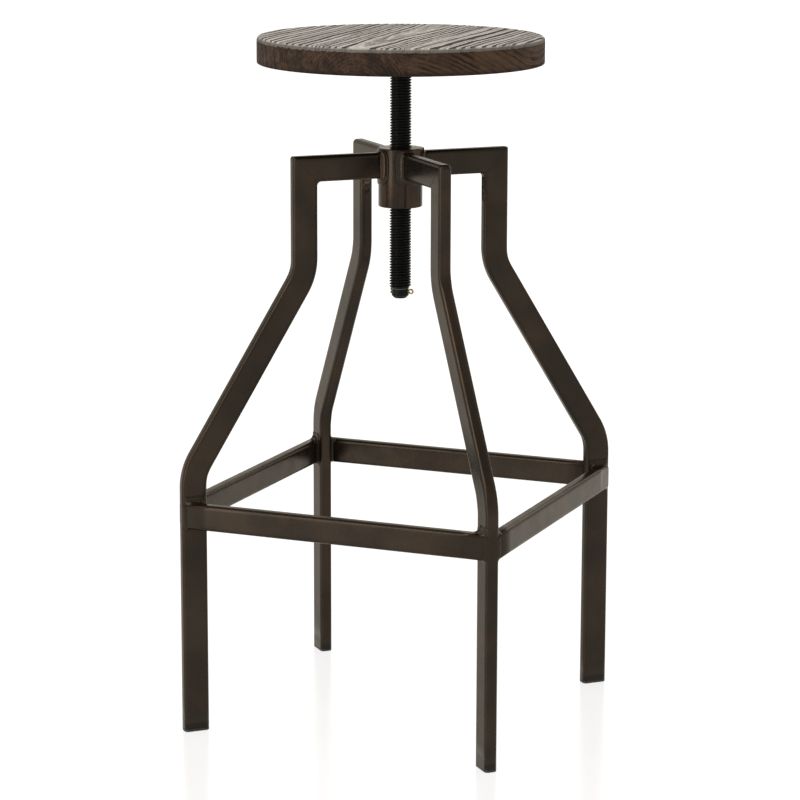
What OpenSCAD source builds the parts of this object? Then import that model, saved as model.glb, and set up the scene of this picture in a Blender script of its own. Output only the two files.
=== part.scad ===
// Bar stool with a round wooden seat on a lifting screw, in a welded frame of rectangular tube.
// Millimetres. The origin is the middle of the footprint on the floor, +Z points up, -Y is the front.

/* [Seat] */
// Diameter of the wooden seat
seat_d = 330; // [280:5:380]
// Thickness of the wooden seat
seat_t = 31; // [27:1:45]
// Height of the seat's top above the floor, with the screw part way up
seat_height = 798; // [715:1:880]
// Radius of the seat's top edge
seat_top_edge = 4.5; // [1:0.5:8]
// Radius of the seat's bottom edge
seat_bottom_edge = 1.5; // [0.5:0.5:4]

/* [Seat plate] */
// Diameter of the steel plate under the seat
plate_d = 110; // [100:2:140]
// Thickness of the plate
plate_t = 4; // [3:0.5:6]
// Diameter of the circle that the wood screws stand on
plate_hole_circle = 88; // [66:2:88]
// Number of wood screws
wood_screw_count = 4; // [3:1:6]
// Shank diameter of a wood screw
wood_screw_d = 4; // [3:0.5:5]
// Length of a wood screw below its head
wood_screw_length = 25; // [16:1:25]
// Diameter of a wood screw's head
wood_screw_head_d = 8; // [7:0.5:10]
// Height of a wood screw's head
wood_screw_head_h = 2.6; // [2:0.2:3.4]

/* [Lifting screw] */
// Outer diameter of the thread
screw_d = 25.1; // [22:0.1:28]
// Rise of the thread in one turn
thread_pitch = 3.175; // [3:0.025:5]
// Depth of the thread
thread_depth = 2; // [1:0.1:2.2]
// Diameter of the plain neck that goes through the plate
neck_d = 20; // [16:0.5:20]
// Width of the weld ring between the neck and the plate
screw_weld_w = 5; // [3:0.5:7]
// Length of the screw, from the top of the plate to its lower end
screw_length = 273; // [240:1:290]
// Diameter of the plain lower end
end_d = 20; // [16:0.5:20]
// Length of the plain lower end
end_length = 11.7; // [10:0.1:16]
// Size of the bevel round the lower end
end_bevel = 3.2; // [1:0.1:4]

/* [Stop pin] */
// Diameter of the split pin
pin_d = 3.2; // [2:0.1:3.6]
// Height of the pin above the screw's lower end
pin_rise = 8; // [7:0.1:8]
// Outer radius of the pin's eye
pin_eye_r = 3.4; // [2.8:0.1:4]
// Length of the pin's two bent tails, from the middle of the pin
pin_tail = 3; // [2.4:0.1:4]
// Direction in which the eye points, in degrees from +X
pin_turn = 0; // [0:5:355]

/* [Hub] */
// Outer diameter of the hub
hub_d = 51; // [46:0.5:60]
// Height of the hub
hub_h = 68; // [50:1:80]
// How far the hub stands above the arms
hub_rise = 4.5; // [2:0.5:10]
// Size of the bevel round the hub's edges
hub_bevel = 1; // [0.5:0.1:2]
// Clearance between the thread's crest and the hub's bore
bore_gap = 0.08; // [0.02:0.01:0.1]

/* [Tube of the frame] */
// Wide side of the tube
tube_w = 30; // [26:0.5:34]
// Narrow side of the tube
tube_t = 15; // [12:0.5:18]
// Outer corner radius of the tube
tube_corner = 4.5; // [3.5:0.5:5.5]
// Wall of the tube
tube_wall = 1.5; // [1:0.1:1.8]

/* [Arms and legs] */
// Height of the arms' top above the floor
arm_top = 665; // [640:1:690]
// Distance from the axis to the middle of a leg's upper part
leg_in = 119; // [100:1:140]
// Distance from the axis to the middle of a leg's lower part
leg_out = 256; // [225:1:290]
// Height at which the upper part and the sloped part would meet
upper_bend = 530; // [505:1:560]
// Height at which the sloped part and the lower part would meet
lower_bend = 307; // [298:1:340]
// Radius of both bends, at the middle of the tube
bend_r = 65; // [40:1:80]

/* [Footrest] */
// Height of the rails' top above the floor
rail_top = 273.5; // [180:0.5:278]
// How far the rails' outer faces stand out past the legs' rounded corners
rail_proud = 2; // [0:0.1:2.5]

/* [Feet] */
// Thickness of the cap under a leg
cap_t = 3; // [2:0.5:6]
// Height of the cap's plug inside the leg
plug_h = 16; // [10:1:25]
// Wall of the plug
plug_wall = 1.5; // [1:0.1:2]
// Clearance between the plug and the tube
plug_gap = 0.2; // [0.1:0.05:0.3]

/* [Welds] */
// Size of the weld round each arm at the hub
hub_weld = 6; // [3:0.5:7]
// Size of the weld in the corner between an arm and a leg
corner_weld = 5; // [2:0.5:7]
// Radius of the weld behind each end of a rail
rail_weld = 4.5; // [3:0.1:5]
// Size of the weld above and below each end of a rail
rail_fillet = 2.5; // [1.5:0.1:3.5]

/* [Hidden] */

$fn = 48;
cut = 1;            // how far a cutting shape reaches past what it cuts
far = 900;          // longer than any piece
weld_facets = 32;   // sides of the circles that a weld's hull is drawn over
hole_gap = 0.1;     // clearance round a shank in its hole
neck_gap = 0.08;    // clearance round the screw's neck in the plate and in its weld
thread_gap = 0.3;   // clearance between the thread and the weld ring, and over the neck
plate_hole_play = 1;    // how much wider than a wood screw its hole in the plate is
weld_toe = 0.3;         // how much of the weld ring's width is square at each edge, as a share
head_taper = 0.7;       // radius of a wood screw's head at its outer face, as a share
recess_share = 0.6;     // length of the cross recess in a head, as a share of its diameter
recess_w = 0.8;         // width of that recess
point_share = 0.2;      // radius of a wood screw's point, as a share of its shank
weld_plate = 0.1;       // thickness of the sections that a weld's hull is drawn between
bend_extra = 0.05;  // how much thicker a bend's wall is on each side than a straight part's
lap = 0.5;          // how far a straight part reaches into a bend's wall

// Directions of the four corners and of the four rails, in degrees from +X
front_left = 225;
front_right = 315;
back_left = 135;
back_right = 45;
corners = [front_left, front_right, back_left, back_right];

// The seat, its plate and the screw, from the top down
seat_bottom = seat_height - seat_t;
plate_bottom = seat_bottom - plate_t;
thread_top = plate_bottom - screw_weld_w - thread_gap;
screw_bottom = seat_bottom - screw_length;
thread_bottom = screw_bottom + end_length;
root_r = screw_d / 2 - thread_depth;
pin_height = screw_bottom + pin_rise;
wood_screw_tip = wood_screw_d;

// The thread: its sides in one turn, and its whole number of sides
thread_sides = 20;
thread_height = thread_top - thread_bottom;
thread_steps = round(thread_height / thread_pitch * thread_sides);
thread_rise = thread_height / thread_steps;

// The hub
hub_top = arm_top + hub_rise;
hub_bottom = hub_top - hub_h;
bore_d = screw_d + 2 * bore_gap;

// The legs: slope, and how much height each bend takes up
arm_middle = arm_top - tube_w / 2;
leg_slope = atan2(leg_out - leg_in, upper_bend - lower_bend);
bend_reach = bend_r * tan(leg_slope / 2);
upper_length = arm_top - upper_bend - bend_reach;
slope_length = norm([leg_out - leg_in, upper_bend - lower_bend]) - 2 * bend_reach;
lower_length = lower_bend - bend_reach - cap_t;

// The rails: their outer face, as a distance from the axis
rail_middle_z = rail_top - tube_w / 2;
leg_corner = (leg_out + tube_w / 2 - tube_corner + tube_t / 2 - tube_corner) / sqrt(2) + tube_corner;
rail_out = leg_corner + rail_proud;
rail_middle = rail_out - tube_t / 2;
// Where a rail's faces meet the leg's wide face, along the leg's own direction
rail_end_in = (rail_out - tube_t) * sqrt(2) - tube_t / 2;
rail_end_out = rail_out * sqrt(2) - tube_t / 2;

// A rectangle with round corners
module rounded(w, t, r) {
    square([w - 2 * r, t], center = true);
    square([w, t - 2 * r], center = true);
    for (x = [-1, 1], y = [-1, 1])
        translate([x * (w / 2 - r), y * (t / 2 - r)]) circle(r);
}

// The tube's section, wide side along X
module tube_outside() {
    rounded(tube_w, tube_t, tube_corner);
}

// The same with its hollow, and with the wall a little thicker on both sides where asked
module tube_section(extra = 0) {
    depth = tube_wall + extra;
    difference() {
        rounded(tube_w + 2 * extra, tube_t + 2 * extra, tube_corner + extra);
        rounded(tube_w - 2 * depth, tube_t - 2 * depth, tube_corner - depth);
    }
}

// Seat: a disc with a rounded edge, and pilot holes for the wood screws
module seat_outline() {
    r = seat_d / 2;
    square([r - seat_top_edge, seat_t]);
    translate([0, seat_bottom_edge]) square([r, seat_t - seat_top_edge - seat_bottom_edge]);
    square([r - seat_bottom_edge, seat_bottom_edge + cut]);
    translate([r - seat_top_edge, seat_t - seat_top_edge]) circle(seat_top_edge);
    translate([r - seat_bottom_edge, seat_bottom_edge]) circle(seat_bottom_edge);
}

module at_wood_screws() {
    for (k = [0 : wood_screw_count - 1])
        rotate(back_right + k * 360 / wood_screw_count) translate([plate_hole_circle / 2, 0, 0]) children();
}

module seat() {
    pilot_r = wood_screw_d / 2 + hole_gap;
    color("#8f8579") difference() {
        translate([0, 0, seat_bottom]) rotate_extrude() seat_outline();
        at_wood_screws() translate([0, 0, seat_bottom - cut])
            cylinder(h = wood_screw_length - plate_t + cut, r = pilot_r);
    }
}

// Wood screws: a low round head with a cross recess, a shank and a point
module wood_screw() {
    head_r = wood_screw_head_d / 2;
    shank_r = wood_screw_d / 2;
    difference() {
        union() {
            translate([0, 0, -wood_screw_head_h])
                cylinder(h = wood_screw_head_h, r1 = head_taper * head_r, r2 = head_r);
            cylinder(h = wood_screw_length - wood_screw_tip, r = shank_r);
            translate([0, 0, wood_screw_length - wood_screw_tip])
                cylinder(h = wood_screw_tip - hole_gap, r1 = shank_r, r2 = point_share * shank_r);
        }
        for (turn = [0, 90])
            rotate(turn) translate([0, 0, -wood_screw_head_h])
                cube([recess_share * wood_screw_head_d, recess_w, wood_screw_head_h], center = true);
    }
}

module seat_screws() {
    color("#9b9a96") at_wood_screws() translate([0, 0, plate_bottom]) wood_screw();
}

// Plate: a steel disc with a hole for the screw's neck and holes for the wood screws
module seat_plate() {
    color("#3a322c") difference() {
        translate([0, 0, plate_bottom]) cylinder(h = plate_t, d = plate_d);
        translate([0, 0, plate_bottom - cut]) cylinder(h = plate_t + 2 * cut, d = neck_d + 2 * neck_gap);
        at_wood_screws() translate([0, 0, plate_bottom - cut])
            cylinder(h = plate_t + 2 * cut, d = wood_screw_d + plate_hole_play);
    }
}

// Weld ring: fills the corner between the neck and the plate
module screw_weld() {
    inner = neck_d / 2 + neck_gap;
    color("#262422") translate([0, 0, plate_bottom]) rotate_extrude()
        polygon([
            [inner, 0],
            [inner, -screw_weld_w],
            [inner + weld_toe * screw_weld_w, -screw_weld_w],
            [inner + screw_weld_w, -weld_toe * screw_weld_w],
            [inner + screw_weld_w, 0]
        ]);
}

// Thread: a root line winds up the screw, and a crest line runs between its turns.
// The root line lies flat on the first turn and on the last one, so both ends are flat.
function root_rise(m) = min(max(m - thread_sides, 0), thread_steps) * thread_rise;
function middle_rise(m) = (root_rise(m) + root_rise(m + thread_sides)) / 2;
function opening(m) = (root_rise(m + thread_sides) - root_rise(m)) / (thread_sides * thread_rise);
function on_round(r, m, z) =
    let (angle = 360 * (m % thread_sides) / thread_sides)
    [r * cos(angle), r * sin(angle), z];

module thread() {
    last_crest = thread_steps + thread_sides;
    last_root = last_crest + thread_sides;
    roots = [for (m = [0 : last_root]) on_round(root_r, m, root_rise(m))];
    crests = [for (m = [0 : last_crest]) on_round(root_r + thread_depth * opening(m), m, middle_rise(m))];
    // The crest line starts and ends on the root line, where a flat turn closes on itself
    function root(m) = m == thread_sides ? 0 : m == last_root ? last_crest : m;
    function crest(m) = m == 0 || m == last_crest ? root(m) : last_root + 1 + m;
    lower_flank = [for (m = [0 : last_crest - 1]) each [
        if (m < last_crest - 1) [root(m), crest(m + 1), root(m + 1)],
        if (m > 0) [root(m), crest(m), crest(m + 1)]
    ]];
    upper_flank = [for (m = [0 : last_crest - 1]) each [
        if (m > 0) [crest(m), root(m + thread_sides), crest(m + 1)],
        if (m < last_crest - 1) [crest(m + 1), root(m + thread_sides), root(m + thread_sides + 1)]
    ]];
    bottom = [for (m = [0 : thread_sides - 1]) root(m)];
    top = [for (m = [thread_sides - 1 : -1 : 0]) root(last_crest + m)];
    polyhedron(concat(roots, crests), concat(lower_flank, upper_flank, [bottom, top]));
}

// Lifting screw: neck, thread and a plain bevelled end with a hole for the pin
module lifting_screw() {
    overlap = 2 * thread_pitch;
    color("#141414") difference() {
        union() {
            translate([0, 0, thread_top - overlap])
                cylinder(h = seat_bottom - thread_gap - thread_top + overlap, d = neck_d);
            translate([0, 0, thread_bottom]) thread();
            translate([0, 0, screw_bottom + end_bevel])
                cylinder(h = end_length - end_bevel + overlap, d = end_d);
            translate([0, 0, screw_bottom]) cylinder(h = end_bevel, d1 = end_d - 2 * end_bevel, d2 = end_d);
        }
        translate([0, 0, pin_height]) rotate(pin_turn) rotate([0, 90, 0])
            cylinder(h = end_d + 2 * cut, d = pin_d + 2 * hole_gap, center = true);
    }
}

// Stop pin: a round body with an eye at one end and two tails bent apart at the other
module stop_pin() {
    wire_r = pin_d / 4;
    outside = end_d / 2 + hole_gap;
    color("#a8893a") translate([0, 0, pin_height]) rotate(pin_turn) {
        translate([-outside - wire_r, 0, 0]) rotate([0, 90, 0])
            cylinder(h = 2 * outside + 3 * wire_r, d = pin_d);
        translate([outside + pin_eye_r, 0, 0]) rotate([90, 0, 0])
            rotate_extrude() translate([pin_eye_r - wire_r, 0]) circle(wire_r);
        translate([-outside - wire_r, 0, -pin_tail]) cylinder(h = 2 * pin_tail, r = wire_r);
    }
}

// Hub: a thick tube with bevelled edges
module hub() {
    inner = bore_d / 2;
    outer = hub_d / 2;
    color("#3d3027") translate([0, 0, hub_bottom]) rotate_extrude()
        polygon([
            [inner + hub_bevel, 0],
            [outer - hub_bevel, 0],
            [outer, hub_bevel],
            [outer, hub_h - hub_bevel],
            [outer - hub_bevel, hub_h],
            [inner + hub_bevel, hub_h],
            [inner, hub_h - hub_bevel],
            [inner, hub_bevel]
        ]);
}

// The hub's outside, for the round cut in what is welded to it
module hub_core() {
    translate([0, 0, hub_bottom]) cylinder(h = hub_h, d = hub_d);
}

// Everything above the plane of the mitre between an arm and its leg, the arm along +X
module above_mitre() {
    translate([leg_in, 0, arm_middle]) rotate([0, -45, 0]) translate([-far / 2, -far / 2, 0]) cube(far);
}

// A straight piece along +X at the height of the arms, with the given section
module along_arm(reach) {
    translate([0, 0, arm_middle]) rotate([0, 90, 0]) linear_extrude(reach) children();
}

// Arm: a tube cut round at the hub and mitred at the leg
module arm(corner) {
    color("#3f362e") rotate(corner) difference() {
        intersection() {
            along_arm(leg_in + tube_w) tube_section();
            above_mitre();
        }
        hub_core();
    }
}

// Bend of a leg that comes down along -Z to the origin and turns towards +X
module bend() {
    translate([bend_r, 0, 0]) rotate([90, 0, 0]) rotate(180)
        rotate_extrude(angle = leg_slope) translate([bend_r, 0]) tube_section(bend_extra);
}

// Places what follows such a bend, so that the origin is the far end of a straight part
module after_bend(straight) {
    translate([bend_r, 0, 0]) rotate([0, -leg_slope, 0]) translate([-bend_r, 0, -straight]) children();
}

// Leg, the arm along +X: straight, bend, slope, bend back, straight, and the mitre under the arm
module leg(corner) {
    color("#3f362e") rotate(corner) difference() {
        translate([leg_in, 0, arm_top - upper_length]) {
            translate([0, 0, -lap]) linear_extrude(upper_length + lap) tube_section();
            bend();
            after_bend(slope_length) {
                translate([0, 0, -lap]) linear_extrude(slope_length + 2 * lap) tube_section();
                mirror([1, 0, 0]) bend();
                mirror([1, 0, 0]) after_bend(lower_length)
                    linear_extrude(lower_length + lap) tube_section();
            }
        }
        above_mitre();
    }
}

// Foot: a cap under the leg with a hollow plug that sits in the tube
module foot(corner) {
    inside_w = tube_w - 2 * (tube_wall + plug_gap);
    inside_t = tube_t - 2 * (tube_wall + plug_gap);
    inside_r = tube_corner - tube_wall - plug_gap;
    color("#161616") rotate(corner) translate([leg_out, 0, 0]) difference() {
        union() {
            linear_extrude(cap_t) tube_outside();
            linear_extrude(cap_t + plug_h) rounded(inside_w, inside_t, inside_r);
        }
        translate([0, 0, cap_t]) linear_extrude(plug_h + cut)
            square([inside_w - 2 * plug_wall, inside_t - 2 * plug_wall], center = true);
    }
}

// A bar along Y at the place of the right-hand rail, with the given section
module along_rail() {
    translate([rail_middle, 0, rail_middle_z]) rotate([90, 0, 0])
        linear_extrude(far, center = true) rotate(90) children();
}

// Footrest rail: a tube with both ends cut at 45 degrees against the legs' wide faces
module footrest(side) {
    leg_half = tube_t / sqrt(2);
    color("#3f362e") rotate(side) intersection() {
        along_rail() tube_section();
        linear_extrude(rail_top + cut)
            polygon([[leg_half, 0], [leg_half + far, far], [leg_half + far, -far]]);
    }
}

// Weld round the end of each arm, widening towards the hub, and at the top only up to its rim
module hub_weld_collar() {
    above = min(hub_weld, hub_rise);
    difference() {
        hull() {
            translate([hub_d / 2 - hub_weld, 0, 0]) along_arm(weld_plate)
                translate([(hub_weld - above) / 2, 0])
                    rounded(tube_w + hub_weld + above, tube_t + 2 * hub_weld, tube_corner + above,
                        $fn = weld_facets);
            translate([hub_d / 2 + hub_weld, 0, 0]) along_arm(weld_plate)
                rounded(tube_w, tube_t, tube_corner, $fn = weld_facets);
        }
        hub_core();
        along_arm(hub_d) tube_outside();
    }
}

module hub_welds() {
    color("#4a3d33") for (corner = corners) rotate(corner) hub_weld_collar();
}

// Weld in the inner corner between each arm and its leg
module corner_welds() {
    weld_x = leg_in - tube_w / 2;
    weld_z = arm_top - tube_w;
    weld_t = tube_t - tube_corner;
    color("#4a3d33") for (corner = corners)
        rotate(corner) rotate([90, 0, 0]) linear_extrude(weld_t, center = true)
            polygon([[weld_x, weld_z], [weld_x - corner_weld, weld_z], [weld_x, weld_z - corner_weld]]);
}

// Weld between a leg and the rail on its left, the arm along +X: a bead in the sharp corner
// behind the rail, a fillet above and below its end, and a filling outside the leg's round corner
module rail_weld_set() {
    wide_face = tube_t / 2;
    corner_start = leg_out + tube_w / 2 - tube_corner;
    bevel = tube_corner * (1 - sqrt(0.5));
    difference() {
        union() {
            translate([rail_end_in, wide_face, rail_top - tube_w]) cylinder(h = tube_w, r = rail_weld);
            intersection() {
                for (flip = [0, 1])
                    translate([0, 0, rail_middle_z]) mirror([0, 0, flip]) rotate([90, 0, 90])
                        linear_extrude(far)
                            polygon([
                                [wide_face, tube_w / 2 - tube_corner],
                                [wide_face + rail_fillet, tube_w / 2 - tube_corner],
                                [wide_face + rail_fillet, tube_w / 2],
                                [wide_face, tube_w / 2 + rail_fillet]
                            ]);
                rotate(45) translate([rail_out - tube_t, -far / 2, 0]) cube([tube_t, far, far]);
                cube([corner_start, far, far]);
            }
            translate([0, 0, rail_top - tube_w]) linear_extrude(tube_w)
                polygon([
                    [corner_start, wide_face],
                    [rail_end_out, wide_face],
                    [corner_start + tube_corner - bevel, wide_face - bevel]
                ]);
        }
        translate([leg_out, 0, 0]) linear_extrude(far) tube_outside();
        rotate(45) along_rail() tube_outside();
    }
}

module rail_welds() {
    color("#4a3d33") for (corner = corners, flip = [0, 1])
        rotate(corner) mirror([0, flip, 0]) rail_weld_set();
}

seat();
seat_screws();
seat_plate();
screw_weld();
lifting_screw();
stop_pin();
hub();
hub_welds();
arm(front_left);  // arm_front_left
arm(front_right);  // arm_front_right
arm(back_left);  // arm_back_left
arm(back_right);  // arm_back_right
corner_welds();
leg(front_left);  // leg_front_left
leg(front_right);  // leg_front_right
leg(back_left);  // leg_back_left
leg(back_right);  // leg_back_right
footrest(270);  // footrest_front
footrest(90);  // footrest_back
footrest(180);  // footrest_left
footrest(0);  // footrest_right
rail_welds();
foot(front_left);  // foot_front_left
foot(front_right);  // foot_front_right
foot(back_left);  // foot_back_left
foot(back_right);  // foot_back_right
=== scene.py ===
# %% [markdown]
# # A bar stool with a wooden seat on a lifting screw
# The stool is real: a round seat of glued planks, a black screw, and a welded frame of rectangular tube.
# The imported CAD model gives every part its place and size. This lesson gives each part its look.
# Work from the top cell down. Each cell prints what it made.

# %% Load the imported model
from math import atan2, cos, degrees, exp, hypot, pi, radians, sin, sqrt, tan
from types import SimpleNamespace

import bmesh
import bpy
from mathutils import Matrix, Vector


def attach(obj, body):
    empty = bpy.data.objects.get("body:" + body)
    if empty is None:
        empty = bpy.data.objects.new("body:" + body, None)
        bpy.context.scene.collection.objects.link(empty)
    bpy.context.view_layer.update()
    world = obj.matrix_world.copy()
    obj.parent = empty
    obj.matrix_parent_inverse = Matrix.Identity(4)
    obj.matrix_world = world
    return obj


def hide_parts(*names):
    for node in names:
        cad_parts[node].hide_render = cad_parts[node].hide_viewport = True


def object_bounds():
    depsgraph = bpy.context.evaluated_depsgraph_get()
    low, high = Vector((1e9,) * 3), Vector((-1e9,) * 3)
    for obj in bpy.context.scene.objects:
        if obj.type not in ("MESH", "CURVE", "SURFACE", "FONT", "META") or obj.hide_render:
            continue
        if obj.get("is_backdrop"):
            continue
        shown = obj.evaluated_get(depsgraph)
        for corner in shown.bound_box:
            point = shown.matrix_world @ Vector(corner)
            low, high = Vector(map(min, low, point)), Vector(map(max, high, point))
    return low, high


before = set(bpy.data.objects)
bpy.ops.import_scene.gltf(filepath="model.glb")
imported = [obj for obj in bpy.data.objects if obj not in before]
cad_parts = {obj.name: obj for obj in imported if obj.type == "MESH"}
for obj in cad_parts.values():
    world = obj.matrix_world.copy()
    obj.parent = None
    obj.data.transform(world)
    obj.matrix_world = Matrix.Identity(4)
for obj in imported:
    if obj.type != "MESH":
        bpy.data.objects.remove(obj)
cad_low, cad_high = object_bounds()
MM = 0.001
print("CAD nodes:", len(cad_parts), "box in mm:", [round(v / MM, 1) for v in cad_high - cad_low])

# %% [markdown]
# ## Sizes
# A scene is easier to change when the sizes that many pieces share are written once.
# These are the sizes of the real stool in millimetres, the same as in the CAD model.

# %% Sizes of the real stool
SEAT_R = 165
SEAT_T = 31
SEAT_TOP = 798
SEAT_BOTTOM = SEAT_TOP - SEAT_T
TOP_EDGE_R = 4.5
BOTTOM_EDGE_R = 1.5
PLATE_T = 4
PLATE_R = 55
SCREW_BOTTOM = 494
SCREW_CREST_R = 12.55
SCREW_ROOT_R = 10.6
SCREW_END_R = 10.0
SCREW_END_TOP = 505.7
THREAD_TOP = 757.7
PITCH = 3.175
PIN_Z = 502
HUB_R = 25.5
HUB_TOP = 669.5
HUB_BOTTOM = 601.5
BORE_R = 12.63
TUBE_W = 30
TUBE_T = 15
TUBE_CORNER = 4.5
ARM_TOP = 665
ARM_MIDDLE = ARM_TOP - TUBE_W / 2
LEG_IN = 119
LEG_OUT = 256
RAIL_TOP = 273.5
RAIL_OUT = 197.06
CORNERS = {"front_left": 225, "front_right": 315, "back_left": 135, "back_right": 45}
print("seat", 2 * SEAT_R, "mm across,", SEAT_TOP, "mm high")

# %% [markdown]
# ## Small tools for meshes
# Most pieces are lofts: rows of points, joined row by row into a skin.
# A piece keeps its object at the origin, and its place is in its mesh, as in the CAD model.
# Points are in millimetres, and new_mesh turns them into Blender's metres.


# %% Tools for meshes
def new_mesh(name, points, faces):
    """A mesh made of points in millimetres."""
    mesh = bpy.data.meshes.new(name)
    mesh.from_pydata([tuple(c * MM for c in p) for p in points], [], faces)
    return mesh


def new_object(name, data):
    """An object that is linked to the scene."""
    made = bpy.data.objects.new(name, data)
    bpy.context.scene.collection.objects.link(made)
    return made


def new_piece(name, points, faces, material, body, slot, replaced):
    """A mesh object made of points in millimetres, riding on a CAD body."""
    mesh = new_mesh(name, points, faces)
    mesh.materials.append(material)
    mesh.shade_smooth()
    dress(new_object(name, mesh), body, replaced)


def dress(piece, body, replaced):
    """Tidies a piece's points and normals, hangs it on its body, and hides the CAD nodes that it replaces."""
    edit = bmesh.new()
    edit.from_mesh(piece.data)
    bmesh.ops.remove_doubles(edit, verts=edit.verts, dist=0.0005 * MM)
    bmesh.ops.recalc_face_normals(edit, faces=edit.faces)
    edit.to_mesh(piece.data)
    edit.free()
    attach(piece, body)
    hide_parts(*replaced)


def loft_faces(rows, columns, closed_rows=False, closed_columns=True):
    """Four-sided faces between rows of points that were listed row by row."""
    faces = []
    for i in range(rows if closed_rows else rows - 1):
        a, b = i * columns, (i + 1) % rows * columns
        for j in range(columns if closed_columns else columns - 1):
            k = (j + 1) % columns
            faces.append((a + j, a + k, b + k, b + j))
    return faces


def end_caps(rows, columns):
    """The two faces that close a loft at its first row and at its last."""
    last = (rows - 1) * columns
    return [tuple(range(columns)), tuple(range(last + columns - 1, last - 1, -1))]


def joined(parts):
    """The points and faces of several parts as one."""
    points, faces = [], []
    for more_points, more_faces in parts:
        faces += [tuple(i + len(points) for i in face) for face in more_faces]
        points += more_points
    return points, faces


def lathe(profile, steps, hollow=False, bottom=True, top=True):
    """Points and faces of a round piece about Z, from (radius, height) pairs listed upwards."""
    turns = [2 * pi * i / steps for i in range(steps)]
    points = [(r * cos(a), r * sin(a), z) for r, z in profile for a in turns]
    faces = loft_faces(len(profile), steps, closed_rows=hollow)
    if not hollow:
        first, last = end_caps(len(profile), steps)
        faces += [first] * bottom + [last] * top
    return points, faces


def rounded(profile, radii, steps=5):
    """A profile of (radius, height) pairs with each corner rounded by its own radius."""
    out = []
    for i, (point, r) in enumerate(zip(profile, radii)):
        here = Vector(point)
        if r == 0:
            out.append(tuple(here))
            continue
        sides = [(Vector(profile[(i + d) % len(profile)]) - here).normalized() for d in (-1, 1)]
        half = sides[0].angle(sides[1]) / 2
        centre = here + (sides[0] + sides[1]).normalized() * (r / sin(half))
        start, end = [here + side * (r / tan(half)) - centre for side in sides]
        for s in range(steps + 1):
            out.append(tuple(centre + start.lerp(end, s / steps).normalized() * r))
    return out


def turned(points, angle):
    """Points turned about the stool's axis by an angle in degrees."""
    a = radians(angle)
    c, s = cos(a), sin(a)
    return [(c * x - s * y, s * x + c * y, z) for x, y, z in points]


print("mesh tools are ready")

# %% [markdown]
# ## Small tools for nodes
# Shader trees and geometry trees share their maths and noise nodes.
# So one little helper serves both, and one formula can colour a surface and carve it as well.
# Each call adds a node and hands back its output for the next call. A plus sign adds a maths node, and so on.


# %% Tools for nodes
class Output:
    """A node's output. Arithmetic on it adds maths nodes to its tree."""

    def __init__(self, graph, socket):
        self.graph = graph
        self.socket = socket

    def __add__(self, other):
        return self.graph.math("ADD", self, other)

    def __sub__(self, other):
        return self.graph.math("SUBTRACT", self, other)

    def __rsub__(self, other):
        return self.graph.math("SUBTRACT", other, self)

    def __mul__(self, other):
        return self.graph.math("MULTIPLY", self, other)

    def __truediv__(self, other):
        return self.graph.math("DIVIDE", self, other)

    def at_least(self, other):
        return self.graph.math("MAXIMUM", self, other)

    def at_most(self, other):
        return self.graph.math("MINIMUM", self, other)


class Graph:
    """Adds nodes to a shader tree or a geometry tree."""

    def __init__(self, tree):
        self.tree = tree

    def put(self, socket, value):
        """Links an output to a socket, or gives the socket a plain value."""
        if isinstance(value, Output):
            self.tree.links.new(value.socket, socket)
        elif socket.type == "RGBA":
            socket.default_value = (*value, 1)
        else:
            socket.default_value = value

    def node(self, kind, inputs=(), **settings):
        made = self.tree.nodes.new(kind)
        for key, value in settings.items():
            setattr(made, key, value)
        for key, value in dict(inputs).items():
            self.put(made.inputs[key], value)
        return made

    def out(self, kind, inputs=(), index=0, **settings):
        """Adds a node and hands back one of its outputs."""
        return Output(self, self.node(kind, inputs, **settings).outputs[index])

    def math(self, operation, *values):
        return self.out("ShaderNodeMath", enumerate(values), operation=operation)

    def stretch(self, vector, factors):
        return self.out("ShaderNodeVectorMath", {0: vector, 1: factors}, operation="MULTIPLY")

    def scale(self, vector, factor):
        return self.out("ShaderNodeVectorMath", {0: vector, "Scale": factor}, operation="SCALE")

    def combine(self, x, y, z=0.0):
        return self.out("ShaderNodeCombineXYZ", enumerate((x, y, z)))

    def length(self, x, y):
        return self.out("ShaderNodeVectorMath", {0: self.combine(x, y)}, 1, operation="LENGTH")

    def split(self, vector):
        return [Output(self, part) for part in self.node("ShaderNodeSeparateXYZ", {0: vector}).outputs]

    def noise(self, vector, scale, detail=2.0, roughness=0.5):
        inputs = {"Vector": vector, "Scale": scale, "Detail": detail, "Roughness": roughness}
        return self.out("ShaderNodeTexNoise", inputs)

    def random(self, value):
        """One number from 0 to 1 for each value."""
        return self.out("ShaderNodeTexWhiteNoise", {"W": value}, noise_dimensions="1D")

    def remap(self, value, low, high, to_low=0.0, to_high=1.0, kind="SMOOTHSTEP"):
        inputs = enumerate((value, low, high, to_low, to_high))
        return self.out("ShaderNodeMapRange", inputs, interpolation_type=kind)

    def blend(self, factor, a, b):
        """Mixes two colours."""
        return self.out("ShaderNodeMix", {0: factor, 6: a, 7: b}, 2, data_type="RGBA")

    def ramp(self, value, stops):
        """A colour from a list of (place, colour) stops."""
        made = self.node("ShaderNodeValToRGB", {0: value})
        band = made.color_ramp.elements
        while len(band) < len(stops):
            band.new(0.5)
        for element, (place, colour) in zip(band, stops):
            element.position = place
            element.color = (*colour, 1)
        return Output(self, made.outputs[0])

    def bump(self, height, distance, strength=1.0):
        """A bump of the given height in millimetres."""
        return self.out("ShaderNodeBump", {"Height": height, "Distance": distance * MM, "Strength": strength})

    def join(self, *parts):
        """Several geometries as one."""
        made = self.node("GeometryNodeJoinGeometry")
        for part in parts:
            self.put(made.inputs[0], part)
        return Output(self, made.outputs[0])

    def plug(self, **sockets):
        """Fills the sockets of the material's shader. A name's underscores stand for spaces."""
        for key, value in sockets.items():
            self.put(self.shader.inputs[key.replace("_", " ")], value)


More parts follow.
